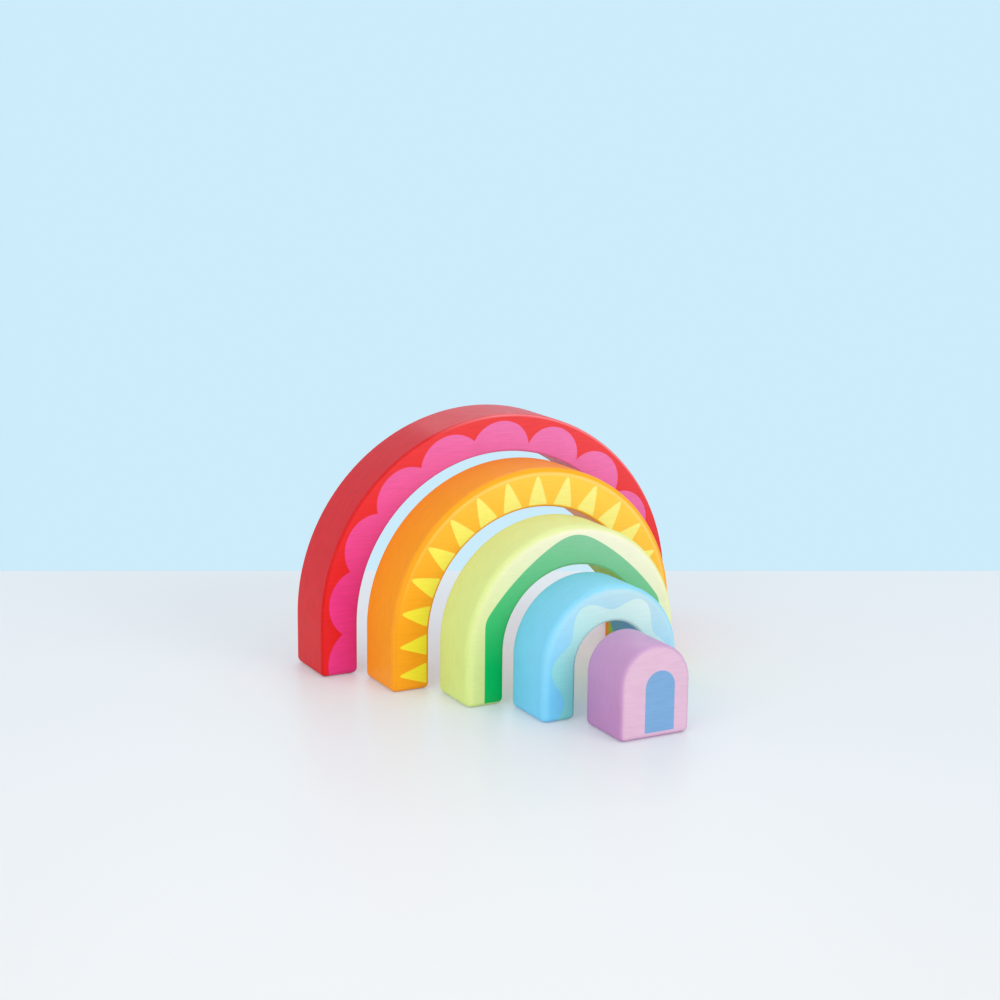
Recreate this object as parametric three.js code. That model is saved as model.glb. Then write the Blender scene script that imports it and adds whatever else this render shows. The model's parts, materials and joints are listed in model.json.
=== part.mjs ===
// Wooden rainbow tunnel: four nesting arches and a round-topped block, each sawn whole from one thick board
// and painted. They stand one in front of another, and each slides back into the next larger one.
// Millimetres. +Z is up, +X runs across the arches and +Y points from the block back to the largest arch.
// The origin is on the table, below the middle of the row.
import * as THREE from 'three';

// The board and the shape that all five pieces share
const BOARD_DEPTH = 32;        // thickness of the board, which every piece has from front to back
const LEG_HEIGHT = 25.5;       // straight leg under each half circle
const ARC_SEGMENTS = 20;       // facets in a quarter circle
const EDGE_SEGMENTS = 3;       // facets across a rounded edge

// Radii, from the outside in
const RED_OUTER_RADIUS = 100;
const RED_WALL = 19.3;
const ORANGE_WALL = 19.4;
const GREEN_WALL = 19.2;
const BLUE_WALL = 17.2;
const NEST_GAP = 1.8;          // clearance all round an arch inside the next larger one
const BLOCK_GAP = 1;           // clearance all round the block inside the blue arch

// Clear spaces between the pieces as they stand in a row
const RED_TO_ORANGE = 5.5;
const ORANGE_TO_GREEN = 5.5;
const GREEN_TO_BLUE = 3.5;
const BLUE_TO_PURPLE = 7;

// Sanded rounds on the edges of the front and back faces
const RED_EDGE = 1.5;
const ORANGE_EDGE = 2.5;
const GREEN_EDGE = 4;
const BLUE_EDGE = 4;
const PURPLE_EDGE = 3;

// Each piece fits inside the one before it
const redInner = RED_OUTER_RADIUS - RED_WALL;
const orangeOuter = redInner - NEST_GAP;
const orangeInner = orangeOuter - ORANGE_WALL;
const greenOuter = orangeInner - NEST_GAP;
const greenInner = greenOuter - GREEN_WALL;
const blueOuter = greenInner - NEST_GAP;
const blueInner = blueOuter - BLUE_WALL;
const purpleOuter = blueInner - BLOCK_GAP;

// Front faces, from the back of the row to its front, with the row centred on the origin
const rowSpaces = RED_TO_ORANGE + ORANGE_TO_GREEN + GREEN_TO_BLUE + BLUE_TO_PURPLE;
const rowLength = 5 * BOARD_DEPTH + rowSpaces;
const redFront = rowLength / 2 - BOARD_DEPTH;
const orangeFront = redFront - RED_TO_ORANGE - BOARD_DEPTH;
const greenFront = orangeFront - ORANGE_TO_GREEN - BOARD_DEPTH;
const blueFront = greenFront - GREEN_TO_BLUE - BOARD_DEPTH;
const purpleFront = blueFront - BLUE_TO_PURPLE - BOARD_DEPTH;

// Outline of an arch, seen from the front: two straight legs under a half circle, inside and out
function archOutline(outerRadius, innerRadius) {
  const outline = new THREE.Shape();
  outline.moveTo(-outerRadius, 0);
  outline.lineTo(-innerRadius, 0);
  outline.absarc(0, LEG_HEIGHT, innerRadius, Math.PI, 0, true);
  outline.lineTo(innerRadius, 0);
  outline.lineTo(outerRadius, 0);
  outline.absarc(0, LEG_HEIGHT, outerRadius, 0, Math.PI, false);
  outline.closePath();
  return outline;
}

// Outline of the block, seen from the front: the solid that fills the smallest arch
function blockOutline(radius) {
  const outline = new THREE.Shape();
  outline.moveTo(-radius, 0);
  outline.lineTo(radius, 0);
  outline.absarc(0, LEG_HEIGHT, radius, 0, Math.PI, false);
  outline.closePath();
  return outline;
}

// Piece sawn to an outline from the board, with its front and back edges rounded over
function sawnPiece(name, outline, edge, front, colour) {
  const geometry = new THREE.ExtrudeGeometry(outline, {
    depth: BOARD_DEPTH - 2 * edge,
    curveSegments: ARC_SEGMENTS,
    bevelEnabled: true,
    bevelThickness: edge,
    bevelSize: edge,
    bevelOffset: -edge,
    bevelSegments: EDGE_SEGMENTS,
  });
  const paint = new THREE.MeshStandardMaterial({ color: colour, roughness: 0.55, metalness: 0 });
  const piece = new THREE.Mesh(geometry, paint);
  piece.name = name;
  piece.rotation.x = Math.PI / 2;
  piece.position.y = front + BOARD_DEPTH - edge;
  return piece;
}

const tunnel = new THREE.Group();
tunnel.name = 'rainbow_tunnel';
tunnel.add(
  sawnPiece('red_arch', archOutline(RED_OUTER_RADIUS, redInner), RED_EDGE, redFront, 0xe0393f),
  sawnPiece('orange_arch', archOutline(orangeOuter, orangeInner), ORANGE_EDGE, orangeFront, 0xf99f2d),
  sawnPiece('green_arch', archOutline(greenOuter, greenInner), GREEN_EDGE, greenFront, 0xd8e68f),
  sawnPiece('blue_arch', archOutline(blueOuter, blueInner), BLUE_EDGE, blueFront, 0x86d0f0),
  sawnPiece('purple_block', blockOutline(purpleOuter), PURPLE_EDGE, purpleFront, 0xc9a0cc),
);

export default tunnel;
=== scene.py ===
import json
import math

import bpy
from mathutils import Euler, Matrix, Vector


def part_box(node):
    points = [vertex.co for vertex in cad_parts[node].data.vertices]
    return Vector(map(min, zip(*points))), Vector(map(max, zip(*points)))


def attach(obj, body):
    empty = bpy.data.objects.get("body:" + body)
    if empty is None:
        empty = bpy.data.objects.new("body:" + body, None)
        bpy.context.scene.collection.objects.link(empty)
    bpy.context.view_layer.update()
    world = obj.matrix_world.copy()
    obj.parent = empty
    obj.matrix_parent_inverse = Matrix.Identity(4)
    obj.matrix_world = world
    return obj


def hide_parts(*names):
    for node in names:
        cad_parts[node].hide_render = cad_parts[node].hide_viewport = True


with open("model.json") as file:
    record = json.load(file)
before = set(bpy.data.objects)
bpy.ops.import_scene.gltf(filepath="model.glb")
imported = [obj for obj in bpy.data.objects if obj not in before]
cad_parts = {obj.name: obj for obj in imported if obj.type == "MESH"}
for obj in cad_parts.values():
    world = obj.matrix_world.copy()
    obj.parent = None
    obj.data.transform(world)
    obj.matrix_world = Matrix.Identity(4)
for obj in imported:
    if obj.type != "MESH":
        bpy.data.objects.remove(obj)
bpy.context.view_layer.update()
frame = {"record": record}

# Camera: a short telephoto at the photograph's place, left of the row and a little above it.
# Its lens, place and turn come from a least-squares fit to the outlines of all five pieces.
camera_place = (-0.4735, -0.8206, 0.3009)
camera_heading = math.radians(-28.25)
camera_dip = math.radians(12.41)
camera_roll = math.radians(0.6)
lens_length = 72.23
sensor_width = 36
bpy.ops.object.select_all(action="DESELECT")
bpy.ops.object.camera_add(location=camera_place)
camera = bpy.context.object
camera.data.sensor_width = sensor_width
camera.data.lens = lens_length
level_turn = Euler((math.pi / 2 - camera_dip, 0, camera_heading)).to_matrix()
camera.rotation_euler = (level_turn @ Matrix.Rotation(camera_roll, 3, "Z")).to_euler()
bpy.context.scene.camera = camera
bpy.context.scene.view_settings.view_transform = "Standard"

# Table: a plain white top with a satin lacquer, which ends in a straight edge behind the row.
# It is stage, not part of the toy, and it takes the soft shadows and faint reflections.
table_width = 3.2
table_front = -2.4
table_back = 0.223
table_turn = math.radians(-25.85)
bpy.ops.mesh.primitive_plane_add(size=1, enter_editmode=True)
bpy.ops.transform.resize(value=(table_width, table_back - table_front, 1))
bpy.ops.transform.translate(value=(0, (table_back + table_front) / 2, 0))
bpy.ops.object.mode_set(mode="OBJECT")
table = bpy.context.object
table.name = "table"
table.rotation_euler = (0, 0, table_turn)
bpy.ops.object.transform_apply(location=False, rotation=True, scale=False)


# Colour written as sRGB hex, turned to linear
def linear(colour):
    channels = [int(colour[i:i + 2], 16) / 255 for i in (1, 3, 5)]
    return [c / 12.92 if c <= 0.04045 else ((c + 0.055) / 1.055) ** 2.4 for c in channels] + [1]


# Node with its settings, and with a value or a link in each input that is named.
# A Mix node takes colours in inputs 6 and 7 and gives one in output 2.
def add_node(tree, kind, inputs, **settings):
    node = tree.nodes.new(kind)
    for name, value in settings.items():
        setattr(node, name, value)
    for socket, value in inputs.items():
        if isinstance(value, bpy.types.Node):
            value = value.outputs[0]
        if isinstance(value, bpy.types.NodeSocket):
            tree.links.new(value, node.inputs[socket])
        else:
            node.inputs[socket].default_value = value
    return node


# 1 for rays that show a thing itself, in the picture, in gloss or through glass, and 0 for rays that light
def seen_rays(tree):
    path = add_node(tree, "ShaderNodeLightPath", {})
    seen = path.outputs["Is Camera Ray"]
    for kind in ("Is Glossy Ray", "Is Transmission Ray"):
        seen = add_node(tree, "ShaderNodeMath", {0: seen, 1: path.outputs[kind]}, operation="MAXIMUM")
    return seen


# White satin lacquer, sprayed smooth: a broad soft sheen, a little cloudy, and painted reflection behind.
# Where it is seen, a share of its colour is its own glow, so that it stays pale in every view.
# The rest of its colour is lit, and holds the shadows.
lacquer_white = linear("#f3f5f8")
glow_white = linear("#f8f9fa")
reflection_and_shade_blue = linear("#c0d4e0")
glow_share = 0.3
reflection_and_shade_start = -0.5
cloud_size = 0.25
lacquer_roughness = (0.28, 0.4)
white_lacquer = bpy.data.materials.new("white satin lacquer")
white_lacquer.use_nodes = True
tree = white_lacquer.node_tree
tree.nodes.clear()
place = add_node(tree, "ShaderNodeTexCoord", {}).outputs["Object"]
cloud = add_node(tree, "ShaderNodeTexNoise", {"Vector": place, "Scale": 1 / cloud_size, "Detail": 2})
sheen = add_node(tree, "ShaderNodeMapRange", {"Value": cloud, "To Min": lacquer_roughness[0],
                                              "To Max": lacquer_roughness[1]})
seen = seen_rays(tree)
glow = add_node(tree, "ShaderNodeMath", {0: seen, 1: glow_share}, operation="MULTIPLY")
lit_white = [channel * (1 - glow_share) for channel in lacquer_white[:3]] + [1]
body = add_node(tree, "ShaderNodeMix", {0: seen, 6: lacquer_white, 7: lit_white}, data_type="RGBA")
# Painted reflection and shade: the glow turns darker and bluer towards the back, as the blue room mirrored
to_the_back = (-math.sin(table_turn), math.cos(table_turn), 0)
depth = add_node(tree, "ShaderNodeVectorMath", {0: place, 1: to_the_back}, operation="DOT_PRODUCT")
reflection_and_shade_fade = add_node(tree, "ShaderNodeMapRange", {"Value": depth.outputs["Value"], "From Min": reflection_and_shade_start,
                                             "From Max": table_back})
reflection_and_shade_fade = add_node(tree, "ShaderNodeMix", {0: reflection_and_shade_fade, 6: glow_white, 7: reflection_and_shade_blue}, data_type="RGBA")
lacquer = add_node(tree, "ShaderNodeBsdfPrincipled", {"Base Color": body.outputs[2], "Roughness": sheen,
                                                      "Specular IOR Level": 0.1,
                                                      "Emission Color": reflection_and_shade_fade.outputs[2],
                                                      "Emission Strength": glow})
add_node(tree, "ShaderNodeOutputMaterial", {"Surface": lacquer})
table.data.materials.append(white_lacquer)

# Light: two large softboxes in front of the row, right and left, a small one high behind it, and a pale room.
# The front ones are far off, to light the table evenly, and are left out of reflections, because their mirror
# images would whiten it in views from behind. The room's light is white, and the room itself looks pale blue.
lamp_aim = Vector((0, 0, 0.05))
room_white = linear("#ffffff")
room_level = 0.74
room_blue = linear("#ccecfb")


def softbox(name, location, size, power, glints):
    bpy.ops.object.light_add(type="AREA", location=location)
    lamp = bpy.context.object
    lamp.name = name
    lamp.data.shape = "SQUARE"
    lamp.data.size = size
    lamp.data.energy = power
    lamp.rotation_euler = (lamp_aim - Vector(location)).to_track_quat("-Z", "Y").to_euler()
    lamp.visible_camera = False
    lamp.visible_glossy = glints


softbox("key softbox", location=(3.6, -7.8, 2.9), size=5.4, power=288, glints=False)
softbox("fill softbox", location=(-7.5, -4.0, 2.9), size=5.5, power=175, glints=False)
softbox("back softbox", location=(0.8, 1.7, 1.6), size=1.2, power=7, glints=True)

room = bpy.data.worlds.new("pale room")
room.use_nodes = True
bpy.context.scene.world = room
tree = room.node_tree
tree.nodes.clear()
room_light = add_node(tree, "ShaderNodeBackground", {"Color": room_white, "Strength": room_level})
backdrop = add_node(tree, "ShaderNodeBackground", {"Color": room_blue, "Strength": 1})
either = add_node(tree, "ShaderNodeMixShader", {0: seen_rays(tree), 1: room_light, 2: backdrop})
add_node(tree, "ShaderNodeOutputWorld", {"Surface": either})

# Red arch: the largest piece, sawn from one thick beech board, with only its sharp edges sanded off.
# It is painted satin red all over, and a row of pink scallops is printed on its front, out from the opening.
# It stands loose, as all the pieces do, and the smaller ones slide back into it.
arc_steps = 96
edge_segments = 6
smooth_angle = math.radians(40)
nearly = 0.00001


# Radii, leg height, front and back of an arch. The mount under its left foot gives the middle of the wall.
def arch_sizes(piece_name):
    low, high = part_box(piece_name)
    outer = high.x
    foot = piece_name.replace("_arch", "_left_foot")
    middle = [-mount["pos_m"][0] for mount in frame["record"]["mounts"] if mount["name"] == foot][0]
    inner = 2 * middle - outer
    return {"outer": outer, "inner": inner, "leg": high.z - outer, "front": low.y, "back": high.y}


# Select the faces or edges whose corners pass a test
def pick(piece, kind, wanted):
    bpy.ops.object.mode_set(mode="EDIT")
    bpy.ops.mesh.select_mode(type=kind)
    bpy.ops.mesh.select_all(action="DESELECT")
    bpy.ops.object.mode_set(mode="OBJECT")
    for element in piece.data.polygons if kind == "FACE" else piece.data.edges:
        element.select = wanted([piece.data.vertices[corner].co for corner in element.vertices])
    bpy.ops.object.mode_set(mode="EDIT")


def close_up():
    bpy.ops.object.mode_set(mode="EDIT")
    bpy.ops.mesh.select_all(action="SELECT")
    bpy.ops.mesh.remove_doubles(threshold=nearly)
    bpy.ops.mesh.normals_make_consistent(inside=False)
    bpy.ops.object.mode_set(mode="OBJECT")


# Round the edges by their bevel weight, and keep the shading of the flat faces flat
def sand_edges(piece, widest):
    bpy.ops.object.mode_set(mode="OBJECT")
    rounding = piece.modifiers.new("sanded edges", "BEVEL")
    rounding.width = widest
    rounding.segments = edge_segments
    rounding.limit_method = "WEIGHT"
    bpy.ops.object.modifier_apply(modifier=rounding.name)
    bpy.ops.object.shade_smooth_by_angle(angle=smooth_angle)
    flats = piece.modifiers.new("flat faces stay flat", "WEIGHTED_NORMAL")
    flats.keep_sharp = True
    bpy.ops.object.modifier_apply(modifier=flats.name)


# Left leg drawn up from its foot, turned over the half circle and drawn down again as the right leg
def saw_arch(piece_name, size, edges):
    wall = size["outer"] - size["inner"]
    bpy.ops.object.select_all(action="DESELECT")
    bpy.ops.mesh.primitive_plane_add(size=1, enter_editmode=True)
    piece = bpy.context.object
    piece.name = piece_name + "_wood"
    bpy.ops.transform.resize(value=(wall, size["back"] - size["front"], 1))
    bpy.ops.transform.translate(value=(-size["inner"] - wall / 2, (size["front"] + size["back"]) / 2, 0))
    bpy.ops.mesh.extrude_region_move(TRANSFORM_OT_translate={"value": (0, 0, size["leg"])})
    bpy.ops.mesh.spin(steps=arc_steps, angle=-math.pi, center=(0, 0, size["leg"]), axis=(0, 1, 0))
    pick(piece, "FACE", lambda corners: all(c.x > 0 and abs(c.z - size["leg"]) < nearly for c in corners))
    bpy.ops.mesh.extrude_region_move(TRANSFORM_OT_translate={"value": (0, 0, -size["leg"])})
    close_up()

    def on_outline(corners, outside):
        reaches = [math.hypot(c.x, max(c.z - size["leg"], 0)) for c in corners]
        level = abs(corners[0].y - corners[1].y) < nearly
        middle = (size["outer"] + size["inner"]) / 2
        return level and (min(reaches) > middle if outside else max(reaches) < middle)

    widest = max(edges.values())
    pick(piece, "EDGE", lambda corners: on_outline(corners, outside=True))
    bpy.ops.transform.edge_bevelweight(value=edges["outer"] / widest)
    pick(piece, "EDGE", lambda corners: on_outline(corners, outside=False))
    bpy.ops.transform.edge_bevelweight(value=edges["inner"] / widest)
    pick(piece, "EDGE", lambda corners: max(c.z for c in corners) < nearly)
    bpy.ops.transform.edge_bevelweight(value=edges["foot"] / widest)
    sand_edges(piece, widest)
    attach(piece, piece_name)
    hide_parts(piece_name)
    return piece


# Distance along the outline from its top, measured at one radius, and distance out from the arch's middle
def round_the_arch(tree, place, leg, radius):
    parts = add_node(tree, "ShaderNodeSeparateXYZ", {0: place})
    across = add_node(tree, "ShaderNodeMath", {0: parts.outputs["X"]}, operation="ABSOLUTE")
    height = add_node(tree, "ShaderNodeMath", {0: parts.outputs["Z"], 1: leg}, operation="SUBTRACT")
    above = add_node(tree, "ShaderNodeMath", {0: height, 1: 0}, operation="MAXIMUM")
    below = add_node(tree, "ShaderNodeMath", {0: height, 1: -1}, operation="MULTIPLY")
    below = add_node(tree, "ShaderNodeMath", {0: below, 1: 0}, operation="MAXIMUM")
    spoke = add_node(tree, "ShaderNodeCombineXYZ", {"X": across, "Y": above})
    out = add_node(tree, "ShaderNodeVectorMath", {0: spoke}, operation="LENGTH").outputs["Value"]
    angle = add_node(tree, "ShaderNodeMath", {0: across, 1: above}, operation="ARCTAN2")
    along = add_node(tree, "ShaderNodeMath", {0: angle, 1: radius, 2: below}, operation="MULTIPLY_ADD")
    return along, out


# Satin paint on sanded beech: an even film with a soft sheen, and a clear coat that lights the roundings.
# Faint grain on the sawn faces, sanding lines round the sides, and edges paler from wear and a painted
# highlight.
# The real grain and sanding lines are finer than a pixel, so they are drawn several times coarser, to show.
fibre_length = 0.008          # grain, which runs across the board
fibre_depth = 0.0018
fibre_width = 0.0006
fibre_relief = 0.0002
relief_strength = 0.08
grain_on_sides = 0.05         # change of tone that the grain makes on the sides
sanding_length = 0.009        # sanding lines, which run round the outline
sanding_width = 0.0014
mottle_size = 0.009           # faint clouds in the film
mottle_depth = 0.015
# The specks break up the pale edges, which are partly wear and partly painted highlight
speck_size = 0.004            # specks in the rubbed edges
speck_least = 0.4
noise_low = 0.3               # most of a noise texture lies between these
noise_high = 0.7
noise_middle = 0.5
bare_beech_and_highlight = linear("#f0dcc8")
satin_roughness = (0.42, 0.52)
# Painted highlight: paint drawn paler towards the top and right, where the light falls
painted_light_way = (0.4, 0, 1)      # up and to the right
painted_light_curve = 1.25
front_starts = -0.65          # Y of the normal, on the rounding, where the colour of the front comes in
front_full = -0.99
edge_starts = 0.1             # Y squared times the rest, which is greatest halfway round an edge
edge_middle = 0.25
band_begins = (0.02, 0.14)    # shares of the band's width where it comes in and goes out
band_ends = (0.75, 1)
print_blur = 0.0001           # softness of a print's edge


def painted_beech(name, colours, print_shape, print_back, leg, crown, finish, lining=None, rim=None):
    material = bpy.data.materials.new(name)
    material.use_nodes = True
    tree = material.node_tree
    tree.nodes.clear()
    coords = add_node(tree, "ShaderNodeTexCoord", {})
    place = coords.outputs["Object"]
    back = add_node(tree, "ShaderNodeSeparateXYZ", {0: place}).outputs["Y"]
    facing = add_node(tree, "ShaderNodeSeparateXYZ", {0: coords.outputs["Normal"]}).outputs["Y"]
    along, out = round_the_arch(tree, place, leg, crown - leg)

    # Painted highlight, paler paint up and to the right: each colour is a pair, for the foot and for the
    # crown
    painted_light_rise = add_node(tree, "ShaderNodeVectorMath", {0: place, 1: painted_light_way}, operation="DOT_PRODUCT")
    painted_light_rise = add_node(tree, "ShaderNodeMapRange", {"Value": painted_light_rise.outputs["Value"], "From Max": crown})
    painted_light_rise = add_node(tree, "ShaderNodeMath", {0: painted_light_rise, 1: painted_light_curve}, operation="POWER")
    tints = {}
    for use, (foot, top) in colours.items():
        tint = add_node(tree, "ShaderNodeMix", {0: painted_light_rise, 6: linear(foot), 7: linear(top)}, data_type="RGBA")
        tints[use] = tint.outputs[2]

    # Layers over the first coat. The wall of the opening may be drawn in another colour, up to its rounded
    # edge.
    layers = []
    if lining:
        inside = add_node(tree, "ShaderNodeMapRange", {"Value": out, "From Min": lining["wall"],
                                                       "From Max": lining["wall"] + lining["edge"],
                                                       "To Min": 1, "To Max": 0})
        layers.append((inside, linear(lining["colour"])))

    # The front face is paler than the sides: partly paler paint, partly painted light on the front
    front = add_node(tree, "ShaderNodeMapRange", {"Value": facing, "From Min": front_starts,
                                                  "From Max": front_full}, interpolation_type="SMOOTHSTEP")
    layers.append((front, tints["face"]))

    # A band of stronger colour on the outer rounding, with a pale painted highlight line by it, towards the
    # crown
    if rim:
        width = rim["band_width"]
        inset = add_node(tree, "ShaderNodeMath", {0: crown - leg, 1: out}, operation="SUBTRACT")
        begun = add_node(tree, "ShaderNodeMapRange", {"Value": inset, "From Min": band_begins[0] * width,
                                                      "From Max": band_begins[1] * width})
        left = add_node(tree, "ShaderNodeMapRange", {"Value": inset, "From Min": band_ends[0] * width,
                                                     "From Max": band_ends[1] * width,
                                                     "To Min": 1, "To Max": 0})
        banded = add_node(tree, "ShaderNodeMath", {0: begun, 1: left}, operation="MULTIPLY")
        layers.append((banded, tints["band"]))
        away = add_node(tree, "ShaderNodeMath", {0: inset, 1: rim["line_inset"]}, operation="SUBTRACT")
        away = add_node(tree, "ShaderNodeMath", {0: away}, operation="ABSOLUTE")
        painted_highlight_line = add_node(tree, "ShaderNodeMapRange", {"Value": away, "From Max": rim["line_width"],
                                                      "To Min": 1, "To Max": 0})
        high = add_node(tree, "ShaderNodeMapRange", {"Value": painted_light_rise, "From Min": rim["line_from"]})
        painted_highlight_line = add_node(tree, "ShaderNodeMath", {0: painted_highlight_line, 1: high}, operation="MULTIPLY")
        layers.append((painted_highlight_line, linear(rim["line"])))

    # The print lies on the front alone
    beyond = print_shape(tree, place)
    within = add_node(tree, "ShaderNodeMapRange", {"Value": beyond, "From Min": -print_blur,
                                                   "From Max": print_blur, "To Min": 1, "To Max": 0})
    on_front = add_node(tree, "ShaderNodeMath", {0: back, 1: print_back}, operation="LESS_THAN")
    inked = add_node(tree, "ShaderNodeMath", {0: within, 1: on_front}, operation="MULTIPLY")
    layers.append((inked, tints["ink"]))
    film = tints["coat"]
    for mask, colour in layers:
        film = add_node(tree, "ShaderNodeMix", {0: mask, 6: film, 7: colour}, data_type="RGBA").outputs[2]

    # Grain across the sawn faces, sanding lines round the sides and a broad faint mottle change the tone
    fibre_scale = (1 / fibre_length, 1 / fibre_depth, 1 / fibre_width)
    fibres = add_node(tree, "ShaderNodeMapping", {"Vector": place, "Scale": fibre_scale})
    grain = add_node(tree, "ShaderNodeTexNoise", {"Vector": fibres, "Scale": 1, "Detail": 1})
    mottle = add_node(tree, "ShaderNodeTexNoise", {"Vector": place, "Scale": 1 / mottle_size, "Detail": 2})
    unrolled = add_node(tree, "ShaderNodeCombineXYZ", {"X": along, "Y": back})
    sanding_scale = (1 / sanding_length, 1 / sanding_width, 1)
    unrolled = add_node(tree, "ShaderNodeMapping", {"Vector": unrolled, "Scale": sanding_scale})
    sanding = add_node(tree, "ShaderNodeTexNoise", {"Vector": unrolled, "Scale": 1, "Detail": 2})
    squared = add_node(tree, "ShaderNodeMath", {0: facing, 1: facing}, operation="MULTIPLY")
    on_faces = add_node(tree, "ShaderNodeMapRange", {"Value": squared, "To Min": grain_on_sides,
                                                     "To Max": finish["grain"]})
    on_sides = add_node(tree, "ShaderNodeMapRange", {"Value": squared, "To Min": finish["sanding"],
                                                     "To Max": 0})
    tone = add_node(tree, "ShaderNodeMapRange", {"Value": mottle, "From Min": noise_low,
                                                 "From Max": noise_high, "To Min": 1 - mottle_depth,
                                                 "To Max": 1 + mottle_depth})
    for pattern, strength in ((grain, on_faces), (sanding, on_sides)):
        swing = add_node(tree, "ShaderNodeMath", {0: pattern, 1: noise_middle}, operation="SUBTRACT")
        tone = add_node(tree, "ShaderNodeMath", {0: swing, 1: strength, 2: tone}, operation="MULTIPLY_ADD")
    toned = add_node(tree, "ShaderNodeHueSaturation", {"Color": film, "Value": tone})

    # Wear and painted highlight: the film is drawn paler in specks where the surface turns from a face to a
    # side
    sideways = add_node(tree, "ShaderNodeMath", {0: 1, 1: squared}, operation="SUBTRACT")
    rounded = add_node(tree, "ShaderNodeMath", {0: squared, 1: sideways}, operation="MULTIPLY")
    wear_and_highlight_mask = add_node(tree, "ShaderNodeMapRange", {"Value": rounded, "From Min": edge_starts,
                                                   "From Max": edge_middle, "To Max": finish["wear_and_highlight"]})
    specks = add_node(tree, "ShaderNodeTexNoise", {"Vector": place, "Scale": 1 / speck_size, "Detail": 3})
    specks = add_node(tree, "ShaderNodeMapRange", {"Value": specks, "From Min": noise_low,
                                                   "From Max": noise_high, "To Min": speck_least})
    wear_and_highlight_mask = add_node(tree, "ShaderNodeMath", {0: wear_and_highlight_mask, 1: specks}, operation="MULTIPLY")
    with_wear_and_highlight = add_node(tree, "ShaderNodeMix", {0: wear_and_highlight_mask, 6: toned, 7: bare_beech_and_highlight}, data_type="RGBA")

    # The sheen clouds a little with the mottle, and the grain can just be felt
    gloss = add_node(tree, "ShaderNodeMapRange", {"Value": mottle, "From Min": noise_low,
                                                  "From Max": noise_high, "To Min": satin_roughness[0],
                                                  "To Max": satin_roughness[1]})
    relief = add_node(tree, "ShaderNodeBump", {"Height": grain, "Strength": relief_strength,
                                               "Distance": fibre_relief})
    paint = add_node(tree, "ShaderNodeBsdfPrincipled", {"Base Color": with_wear_and_highlight.outputs[2], "Roughness": gloss,
                                                        "Specular IOR Level": 0.05, "Coat Weight": 0.2,
                                                        "Coat Roughness": 0.2, "Normal": relief})
    add_node(tree, "ShaderNodeOutputMaterial", {"Surface": paint})
    return material


red = arch_sizes("red_arch")
red_edges = {"outer": 0.0015, "inner": 0.0012, "foot": 0.003}
red_arch = saw_arch("red_arch", red, red_edges)

scallop_line = 0.088          # radius round which the scallops are spaced
scallop_pitch = math.radians(20.6) * scallop_line
scallop_top = 0.0965
scallop_radius = 0.020
scallop_right_radius = 0.0165
scallop_turn = red_edges["inner"]


# How far a point lies beyond the edge of the scallops, which are a little narrower right of the middle
def scallops(tree, place):
    along, out = round_the_arch(tree, place, red["leg"], scallop_line)
    aside = add_node(tree, "ShaderNodeMath", {0: along, 1: scallop_pitch / 2}, operation="PINGPONG")
    across = add_node(tree, "ShaderNodeSeparateXYZ", {0: place}).outputs["X"]
    radius = add_node(tree, "ShaderNodeMapRange", {"Value": across, "From Max": scallop_pitch / 2,
                                                   "To Min": scallop_radius, "To Max": scallop_right_radius})
    up = add_node(tree, "ShaderNodeMath", {0: out, 1: scallop_top}, operation="SUBTRACT")
    up = add_node(tree, "ShaderNodeMath", {0: up, 1: radius}, operation="ADD")
    up = add_node(tree, "ShaderNodeMath", {0: up, 1: 0}, operation="MAXIMUM")
    reach = add_node(tree, "ShaderNodeCombineXYZ", {"X": aside, "Y": up})
    reach = add_node(tree, "ShaderNodeVectorMath", {0: reach}, operation="LENGTH").outputs["Value"]
    return add_node(tree, "ShaderNodeMath", {0: reach, 1: radius}, operation="SUBTRACT")


red_arch.data.materials.append(painted_beech(
    "red satin paint on beech",
    {"coat": ("#d8242a", "#d4303a"), "face": ("#e32328", "#e54549"), "ink": ("#ea3c8e", "#e679b7"),
     "band": ("#d80a0c", "#d8282c")},
    scallops, print_back=red["front"] + scallop_turn, leg=red["leg"], crown=red["outer"] + red["leg"],
    finish={"grain": 0.22, "sanding": 0.4, "wear_and_highlight": 0.02},
    rim={"band_width": 0.0012, "line": "#f5858c", "line_inset": 0.0007, "line_width": 0.00088,
         "line_from": 0.75}))

# Orange arch: the second piece, sawn and painted as the first, with its edges rounded further.
# A row of yellow triangles is printed round its front, with their bases near the opening.
orange = arch_sizes("orange_arch")
orange_edges = {"outer": 0.0025, "inner": 0.0015, "foot": 0.0025}
orange_arch = saw_arch("orange_arch", orange, orange_edges)

ray_line = 0.062              # radius round which the triangles are spaced
ray_pitch = math.radians(13.25) * ray_line
ray_base = 0.0608
ray_half_base = 0.0049
ray_taper = 0.339
ray_tip_round = 0.003
ray_base_round = 0.0015
ray_turn = orange_edges["inner"]


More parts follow.
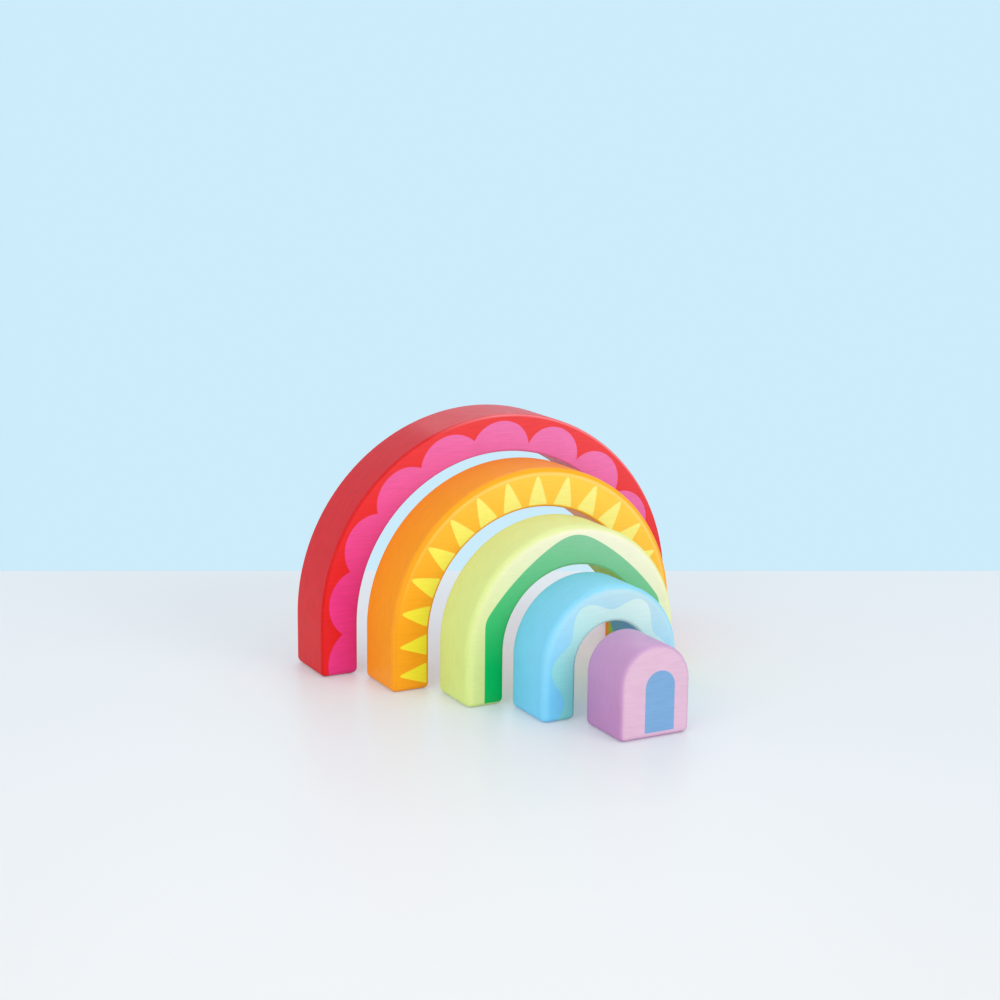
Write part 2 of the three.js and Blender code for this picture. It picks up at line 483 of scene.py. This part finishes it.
# How far a point lies beyond the edge of the triangles, whose tips and corners are rounded
def rays(tree, place):
    along, out = round_the_arch(tree, place, orange["leg"], ray_line)
    aside = add_node(tree, "ShaderNodeMath", {0: along, 1: ray_pitch / 2}, operation="PINGPONG")
    up = add_node(tree, "ShaderNodeMath", {0: out, 1: ray_line}, operation="SUBTRACT")
    width = add_node(tree, "ShaderNodeMath", {0: up, 1: -ray_taper, 2: ray_half_base},
                     operation="MULTIPLY_ADD")
    right = add_node(tree, "ShaderNodeMath", {0: aside, 1: width}, operation="SUBTRACT")
    left = add_node(tree, "ShaderNodeMath", {0: aside, 1: -1}, operation="MULTIPLY")
    left = add_node(tree, "ShaderNodeMath", {0: left, 1: width}, operation="SUBTRACT")
    sides = add_node(tree, "ShaderNodeMath", {0: left, 1: right, 2: ray_tip_round}, operation="SMOOTH_MAX")
    under = add_node(tree, "ShaderNodeMath", {0: ray_base, 1: out}, operation="SUBTRACT")
    return add_node(tree, "ShaderNodeMath", {0: sides, 1: under, 2: ray_base_round}, operation="SMOOTH_MAX")


orange_arch.data.materials.append(painted_beech(
    "orange satin paint on beech",
    {"coat": ("#fda122", "#fb9e2a"), "face": ("#ffa61e", "#fac94a"), "ink": ("#fcea38", "#f3e98a"),
     "band": ("#f9a018", "#fbad1a")},
    rays, print_back=orange["front"] + ray_turn, leg=orange["leg"], crown=orange["outer"] + orange["leg"],
    finish={"grain": 0.14, "sanding": 0.14, "wear_and_highlight": 0.02},
    rim={"band_width": 0.0026, "line": "#fcd070", "line_inset": 0.0029, "line_width": 0.0013,
         "line_from": 0}))

# Green arch: the third piece, of the same board and paint, with edges rounded over broadly by sanding.
# It is pale green, drawn stronger green on its opening's wall. A deep green hill with a rounded top is
# printed
# on its front, round the opening.
green = arch_sizes("green_arch")
green_edges = {"outer": 0.004, "inner": 0.0015, "foot": 0.003}
green_arch = saw_arch("green_arch", green, green_edges)

hill_half_width = 0.0485
hill_slope_radius = 0.120
hill_slope_aside = 0.0492
hill_slope_height = -0.028
hill_top_round = 0.0133
hill_side_round = 0.0033
hill_turn = 0.00045           # how far back the print goes on the rounded edges


# How far a point lies beyond the edge of the hill: two large arcs that meet at the top, between upright sides
def hill(tree, place):
    parts = add_node(tree, "ShaderNodeSeparateXYZ", {0: place})
    across = add_node(tree, "ShaderNodeMath", {0: parts.outputs["X"]}, operation="ABSOLUTE")
    up = add_node(tree, "ShaderNodeMath", {0: parts.outputs["Z"], 1: hill_slope_height}, operation="SUBTRACT")
    slopes = []
    for aside in (-hill_slope_aside, hill_slope_aside):
        slope = add_node(tree, "ShaderNodeMath", {0: across, 1: aside}, operation="SUBTRACT")
        slope = add_node(tree, "ShaderNodeCombineXYZ", {"X": slope, "Y": up})
        slopes.append(add_node(tree, "ShaderNodeVectorMath", {0: slope}, operation="LENGTH").outputs["Value"])
    top = add_node(tree, "ShaderNodeMath", {0: slopes[0], 1: slopes[1], 2: hill_top_round},
                   operation="SMOOTH_MAX")
    top = add_node(tree, "ShaderNodeMath", {0: top, 1: hill_slope_radius}, operation="SUBTRACT")
    sides = add_node(tree, "ShaderNodeMath", {0: across, 1: hill_half_width}, operation="SUBTRACT")
    return add_node(tree, "ShaderNodeMath", {0: top, 1: sides, 2: hill_side_round}, operation="SMOOTH_MAX")


green_arch.data.materials.append(painted_beech(
    "pale green satin paint on beech",
    {"coat": ("#d9ed90", "#e4eea2"), "face": ("#dfe995", "#f2edd0"), "ink": ("#00be5c", "#8ac59a")},
    hill, print_back=green["front"] + hill_turn, leg=green["leg"], crown=green["outer"] + green["leg"],
    finish={"grain": 0.11, "sanding": 0.1, "wear_and_highlight": 0.05},
    lining={"colour": "#b8e846", "wall": green["inner"], "edge": green_edges["inner"]}))

# Blue arch: the smallest arch, of the same board and paint, with the same broad rounds as the green one.
# It is sky blue, and a pale teal band with a wavy outer edge is printed on its front, round the opening.
blue = arch_sizes("blue_arch")
blue_edges = {"outer": 0.004, "inner": 0.0018, "foot": 0.003}
blue_arch = saw_arch("blue_arch", blue, blue_edges)

wave_line = 0.029             # radius about which the edge swings
wave_height = 0.0035
wave_length = math.radians(61.5) * wave_line
wave_turn = blue_edges["inner"]


# How far a point lies beyond the wavy edge of the band
def wave(tree, place):
    along, out = round_the_arch(tree, place, blue["leg"], wave_line)
    turn = add_node(tree, "ShaderNodeMath", {0: along, 1: 2 * math.pi / wave_length}, operation="MULTIPLY")
    swing = add_node(tree, "ShaderNodeMath", {0: turn}, operation="COSINE")
    reach = add_node(tree, "ShaderNodeMath", {0: swing, 1: wave_height, 2: out}, operation="MULTIPLY_ADD")
    return add_node(tree, "ShaderNodeMath", {0: reach, 1: wave_line}, operation="SUBTRACT")


blue_arch.data.materials.append(painted_beech(
    "sky blue satin paint on beech",
    {"coat": ("#7cd4f9", "#8ad9f4"), "face": ("#7bd8fd", "#badde6"), "ink": ("#88e2e2", "#d6ece8")},
    wave, print_back=blue["front"] + wave_turn, leg=blue["leg"], crown=blue["outer"] + blue["leg"],
    finish={"grain": 0.11, "sanding": 0.12, "wear_and_highlight": 0.08}))

# Purple block: the solid round-topped piece that fills the blue arch, sawn from the same board.
# It is painted lilac, and a plain blue door with a round top is printed on its front, a little off middle.
low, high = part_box("purple_block")
block_radius = high.x
block_leg = high.z - block_radius
block_edge = 0.003
bpy.ops.object.select_all(action="DESELECT")
bpy.ops.mesh.primitive_cylinder_add(vertices=2 * arc_steps, radius=block_radius, depth=high.y - low.y,
                                    location=(0, (low.y + high.y) / 2, block_leg),
                                    rotation=(math.pi / 2, 0, 0))
purple_block = bpy.context.object
purple_block.name = "purple_block_wood"
bpy.ops.object.transform_apply(location=True, rotation=True, scale=True)
bpy.ops.object.mode_set(mode="EDIT")
bpy.ops.mesh.select_all(action="SELECT")
bpy.ops.mesh.bisect(plane_co=(0, 0, block_leg), plane_no=(0, 0, 1), clear_inner=True, use_fill=True)
pick(purple_block, "FACE", lambda corners: all(abs(c.z - block_leg) < nearly for c in corners))
bpy.ops.mesh.extrude_region_move(TRANSFORM_OT_translate={"value": (0, 0, -block_leg)})
close_up()


# Edges of the foot, and of the front and back but for the level line where the round top starts
def is_sanded(corners):
    at_foot = max(c.z for c in corners) < nearly
    at_spring = all(abs(c.z - block_leg) < nearly for c in corners)
    return at_foot or abs(corners[0].y - corners[1].y) < nearly and not at_spring


pick(purple_block, "EDGE", is_sanded)
bpy.ops.transform.edge_bevelweight(value=1)
sand_edges(purple_block, block_edge)
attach(purple_block, "purple_block")
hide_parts("purple_block")

door_middle = 0.002
door_half_width = 0.0078
door_sill = 0.003
door_spring = 0.0241
door_turn = 0.0009


# How far a point lies beyond the edge of the door
def door(tree, place):
    parts = add_node(tree, "ShaderNodeSeparateXYZ", {0: place})
    aside = add_node(tree, "ShaderNodeMath", {0: parts.outputs["X"], 1: door_middle}, operation="SUBTRACT")
    above = add_node(tree, "ShaderNodeMath", {0: parts.outputs["Z"], 1: door_spring}, operation="SUBTRACT")
    above = add_node(tree, "ShaderNodeMath", {0: above, 1: 0}, operation="MAXIMUM")
    reach = add_node(tree, "ShaderNodeCombineXYZ", {"X": aside, "Y": above})
    reach = add_node(tree, "ShaderNodeVectorMath", {0: reach}, operation="LENGTH").outputs["Value"]
    reach = add_node(tree, "ShaderNodeMath", {0: reach, 1: door_half_width}, operation="SUBTRACT")
    under = add_node(tree, "ShaderNodeMath", {0: door_sill, 1: parts.outputs["Z"]}, operation="SUBTRACT")
    return add_node(tree, "ShaderNodeMath", {0: reach, 1: under}, operation="MAXIMUM")


purple_block.data.materials.append(painted_beech(
    "lilac satin paint on beech",
    {"coat": ("#c38dc0", "#caa0cb"), "face": ("#dab5cc", "#dab5cc"), "ink": ("#79a5d0", "#79a5d0")},
    door, print_back=low.y + door_turn, leg=block_leg, crown=high.z,
    finish={"grain": 0.2, "sanding": 0.13, "wear_and_highlight": 0.08}))
